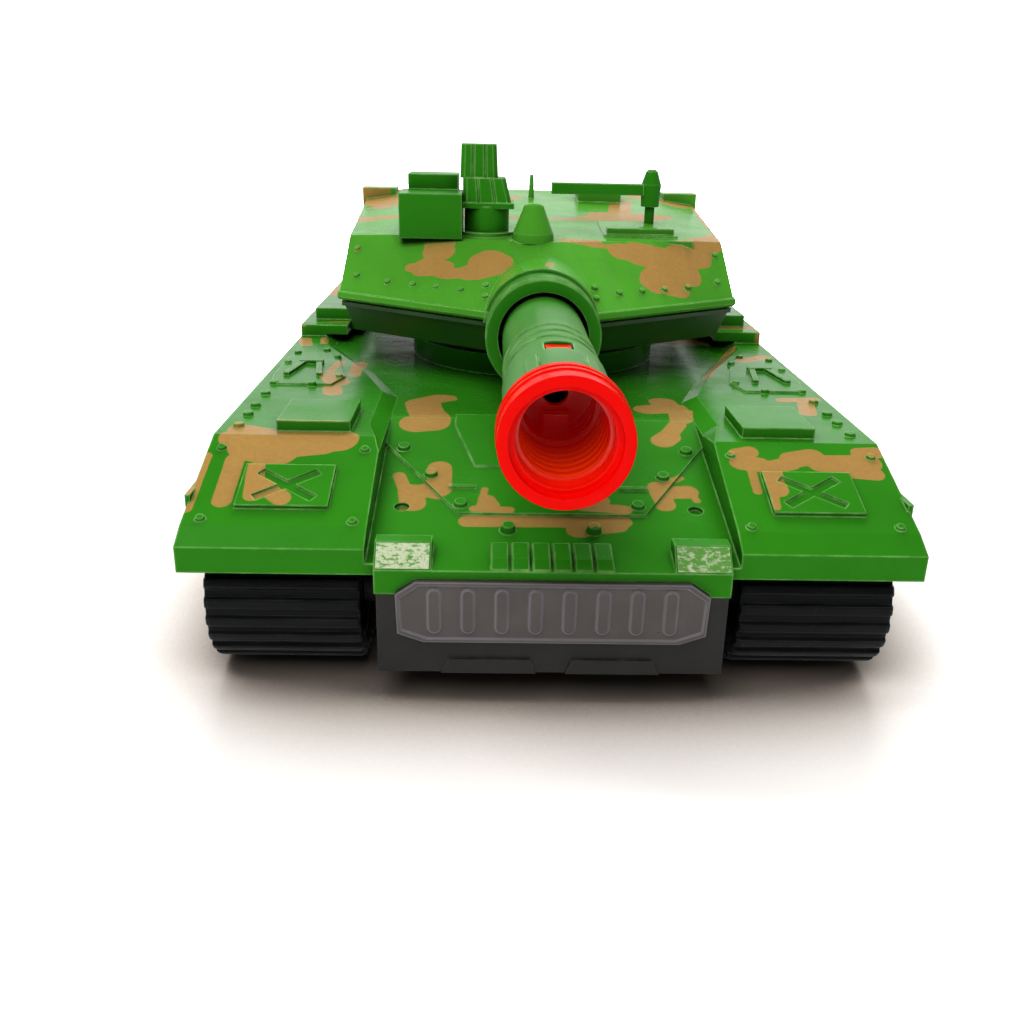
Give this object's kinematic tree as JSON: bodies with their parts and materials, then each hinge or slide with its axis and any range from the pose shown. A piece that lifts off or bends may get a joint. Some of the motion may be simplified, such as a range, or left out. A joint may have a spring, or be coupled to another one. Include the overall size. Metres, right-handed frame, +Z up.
{
  "type": "rc tank",
  "caption": "Toy remote control battle tank with a traversing turret, elevating launcher barrel with a red muzzle, ribbed rubber tracks on geared sprockets and a battery tub.",
  "frame": {"origin": "on the ground plane, under the centre of the whole tank from the muzzle to the tow hooks", "axes": "+Z up, front of the tank faces -Y, +X is to the right of someone looking at its front"},
  "size_m": [0.1522, 0.2938, 0.1064],
  "materials": {
    "green_plastic": "glossy moulded green with tan camouflage print",
    "dark_green_plastic": "satin dark green",
    "black_plastic": "satin black",
    "smoked_plastic": "smoked translucent",
    "silver_foil": "worn reflective foil",
    "black_rubber": "soft black rubber",
    "grey_plastic": "satin grey",
    "steel": "bright drawn steel",
    "brass": "turned brass",
    "white_nylon": "natural nylon",
    "battery_wrap": "shrink wrap",
    "board": "circuit board",
    "cable_red": "insulated cable",
    "red_plastic": "glossy translucent red",
    "orange_plastic": "glossy orange"
  },
  "bodies": {
    "hull": {"hull_upper": "green_plastic", "chassis_tub": "black_plastic", "front_plate": "smoked_plastic", "headlamp_foils": "silver_foil", "track_left": "black_rubber", "track_right": "black_rubber", "stub_axles": "steel", "axle_caps": "steel", "drive_motor_left": "steel", "drive_motor_right": "steel", "gearbox_case": "grey_plastic", "gearbox_covers": "grey_plastic", "gear_spindles": "steel", "shaft_bushes": "brass", "battery_pack": "battery_wrap", "battery_door": "black_plastic", "receiver_board": "board", "power_switch": "grey_plastic", "charge_socket": "black_plastic", "wiring": "cable_red", "hull_screws": "steel", "traverse_gearmotor": "grey_plastic"},
    "drive_left": {"drive_shaft_left": "steel", "sprocket_left": "black_plastic", "final_gear_left": "white_nylon"},
    "intermediate_gear_left": {"intermediate_gear_left": "white_nylon"},
    "motor_pinion_left": {"motor_pinion_left": "brass"},
    "idler_left": {"idler_left": "black_plastic"},
    "road_wheel_left_1": {"road_wheel_left_1": "black_plastic"},
    "road_wheel_left_2": {"road_wheel_left_2": "black_plastic"},
    "road_wheel_left_3": {"road_wheel_left_3": "black_plastic"},
    "road_wheel_left_4": {"road_wheel_left_4": "black_plastic"},
    "road_wheel_left_5": {"road_wheel_left_5": "black_plastic"},
    "drive_right": {"drive_shaft_right": "steel", "sprocket_right": "black_plastic", "final_gear_right": "white_nylon"},
    "intermediate_gear_right": {"intermediate_gear_right": "white_nylon"},
    "motor_pinion_right": {"motor_pinion_right": "brass"},
    "idler_right": {"idler_right": "black_plastic"},
    "road_wheel_right_1": {"road_wheel_right_1": "black_plastic"},
    "road_wheel_right_2": {"road_wheel_right_2": "black_plastic"},
    "road_wheel_right_3": {"road_wheel_right_3": "black_plastic"},
    "road_wheel_right_4": {"road_wheel_right_4": "black_plastic"},
    "road_wheel_right_5": {"road_wheel_right_5": "black_plastic"},
    "turret": {"turret_upper": "green_plastic", "turret_lower": "dark_green_plastic", "turret_ring_gear": "white_nylon", "gun_collar": "green_plastic", "turret_screws": "steel", "sight_housing": "green_plastic", "periscope_tower": "green_plastic"},
    "gun": {"barrel": "green_plastic", "muzzle_insert": "red_plastic", "launcher_cylinder": "black_plastic", "launcher_spring": "steel"},
    "launcher_plunger": {"launcher_plunger": "orange_plastic"},
    "machine_gun": {"machine_gun": "green_plastic"},
    "traverse_pinion": {"traverse_pinion": "white_nylon"},
    "switch_slider": {"switch_slider": "black_plastic"}
  },
  "joints": [
    {"name": "drive_left_spin", "type": "hinge", "parent": "hull", "child": "drive_left", "pos_m": [0, 0.12085, 0.018], "axis": [1, 0, 0], "continuous": true},
    {"name": "intermediate_gear_left_spin", "type": "hinge", "parent": "hull", "child": "intermediate_gear_left", "pos_m": [0, 0.11085, 0.018], "axis": [1, 0, 0], "continuous": true},
    {"name": "motor_pinion_left_spin", "type": "hinge", "parent": "hull", "child": "motor_pinion_left", "pos_m": [0, 0.10085, 0.018], "axis": [1, 0, 0], "continuous": true},
    {"name": "idler_left_spin", "type": "hinge", "parent": "hull", "child": "idler_left", "pos_m": [0, -0.10715, 0.018], "axis": [1, 0, 0], "continuous": true},
    {"name": "road_wheel_left_1_spin", "type": "hinge", "parent": "hull", "child": "road_wheel_left_1", "pos_m": [0, -0.07315, 0.0157], "axis": [1, 0, 0], "continuous": true},
    {"name": "road_wheel_left_2_spin", "type": "hinge", "parent": "hull", "child": "road_wheel_left_2", "pos_m": [0, -0.03465, 0.0157], "axis": [1, 0, 0], "continuous": true},
    {"name": "road_wheel_left_3_spin", "type": "hinge", "parent": "hull", "child": "road_wheel_left_3", "pos_m": [0, 0.00385, 0.0157], "axis": [1, 0, 0], "continuous": true},
    {"name": "road_wheel_left_4_spin", "type": "hinge", "parent": "hull", "child": "road_wheel_left_4", "pos_m": [0, 0.04235, 0.0157], "axis": [1, 0, 0], "continuous": true},
    {"name": "road_wheel_left_5_spin", "type": "hinge", "parent": "hull", "child": "road_wheel_left_5", "pos_m": [0, 0.08085, 0.0157], "axis": [1, 0, 0], "continuous": true},
    {"name": "drive_right_spin", "type": "hinge", "parent": "hull", "child": "drive_right", "pos_m": [0, 0.12085, 0.018], "axis": [1, 0, 0], "continuous": true},
    {"name": "intermediate_gear_right_spin", "type": "hinge", "parent": "hull", "child": "intermediate_gear_right", "pos_m": [0, 0.11085, 0.018], "axis": [1, 0, 0], "continuous": true},
    {"name": "motor_pinion_right_spin", "type": "hinge", "parent": "hull", "child": "motor_pinion_right", "pos_m": [0, 0.10085, 0.018], "axis": [1, 0, 0], "continuous": true},
    {"name": "idler_right_spin", "type": "hinge", "parent": "hull", "child": "idler_right", "pos_m": [0, -0.10715, 0.018], "axis": [1, 0, 0], "continuous": true},
    {"name": "road_wheel_right_1_spin", "type": "hinge", "parent": "hull", "child": "road_wheel_right_1", "pos_m": [0, -0.07315, 0.0157], "axis": [1, 0, 0], "continuous": true},
    {"name": "road_wheel_right_2_spin", "type": "hinge", "parent": "hull", "child": "road_wheel_right_2", "pos_m": [0, -0.03465, 0.0157], "axis": [1, 0, 0], "continuous": true},
    {"name": "road_wheel_right_3_spin", "type": "hinge", "parent": "hull", "child": "road_wheel_right_3", "pos_m": [0, 0.00385, 0.0157], "axis": [1, 0, 0], "continuous": true},
    {"name": "road_wheel_right_4_spin", "type": "hinge", "parent": "hull", "child": "road_wheel_right_4", "pos_m": [0, 0.04235, 0.0157], "axis": [1, 0, 0], "continuous": true},
    {"name": "road_wheel_right_5_spin", "type": "hinge", "parent": "hull", "child": "road_wheel_right_5", "pos_m": [0, 0.08085, 0.0157], "axis": [1, 0, 0], "continuous": true},
    {"name": "turret_traverse", "type": "hinge", "parent": "hull", "child": "turret", "pos_m": [0, 0.01385, 0.05], "axis": [0, 0, 1], "range_deg": [-80, 80]},
    {"name": "traverse_pinion_spin", "type": "hinge", "parent": "hull", "child": "traverse_pinion", "pos_m": [0, -0.02815, 0.039], "axis": [0, 0, 1], "range_deg": [-480, 480]},
    {"name": "gun_elevation", "type": "hinge", "parent": "turret", "child": "gun", "pos_m": [0, -0.05015, 0.0623], "axis": [-1, 0, 0], "range_deg": [-1, 6]},
    {"name": "plunger_cock", "type": "slide", "parent": "gun", "child": "launcher_plunger", "axis": [0, 1, 0], "range_m": [0, 0.012], "deforming": ["launcher_spring"]},
    {"name": "machine_gun_swivel", "type": "hinge", "parent": "turret", "child": "machine_gun", "pos_m": [0.036, 0.01985, 0.09], "axis": [0, 0, 1], "range_deg": [-75, 75]},
    {"name": "power_switch_slide", "type": "slide", "parent": "hull", "child": "switch_slider", "axis": [0, 1, 0], "range_m": [0, 0.004]}
  ],
  "couplings": [
    {"joint": "intermediate_gear_left_spin", "follows": "drive_left_spin", "ratio": -3},
    {"joint": "motor_pinion_left_spin", "follows": "drive_left_spin", "ratio": 9},
    {"joint": "idler_left_spin", "follows": "drive_left_spin", "ratio": 1},
    {"joint": "road_wheel_left_1_spin", "follows": "drive_left_spin", "ratio": 1.0688},
    {"joint": "road_wheel_left_2_spin", "follows": "drive_left_spin", "ratio": 1.0688},
    {"joint": "road_wheel_left_3_spin", "follows": "drive_left_spin", "ratio": 1.0688},
    {"joint": "road_wheel_left_4_spin", "follows": "drive_left_spin", "ratio": 1.0688},
    {"joint": "road_wheel_left_5_spin", "follows": "drive_left_spin", "ratio": 1.0688},
    {"joint": "intermediate_gear_right_spin", "follows": "drive_right_spin", "ratio": -3},
    {"joint": "motor_pinion_right_spin", "follows": "drive_right_spin", "ratio": 9},
    {"joint": "idler_right_spin", "follows": "drive_right_spin", "ratio": 1},
    {"joint": "road_wheel_right_1_spin", "follows": "drive_right_spin", "ratio": 1.0688},
    {"joint": "road_wheel_right_2_spin", "follows": "drive_right_spin", "ratio": 1.0688},
    {"joint": "road_wheel_right_3_spin", "follows": "drive_right_spin", "ratio": 1.0688},
    {"joint": "road_wheel_right_4_spin", "follows": "drive_right_spin", "ratio": 1.0688},
    {"joint": "road_wheel_right_5_spin", "follows": "drive_right_spin", "ratio": 1.0688},
    {"joint": "traverse_pinion_spin", "follows": "turret_traverse", "ratio": -6}
  ]
}
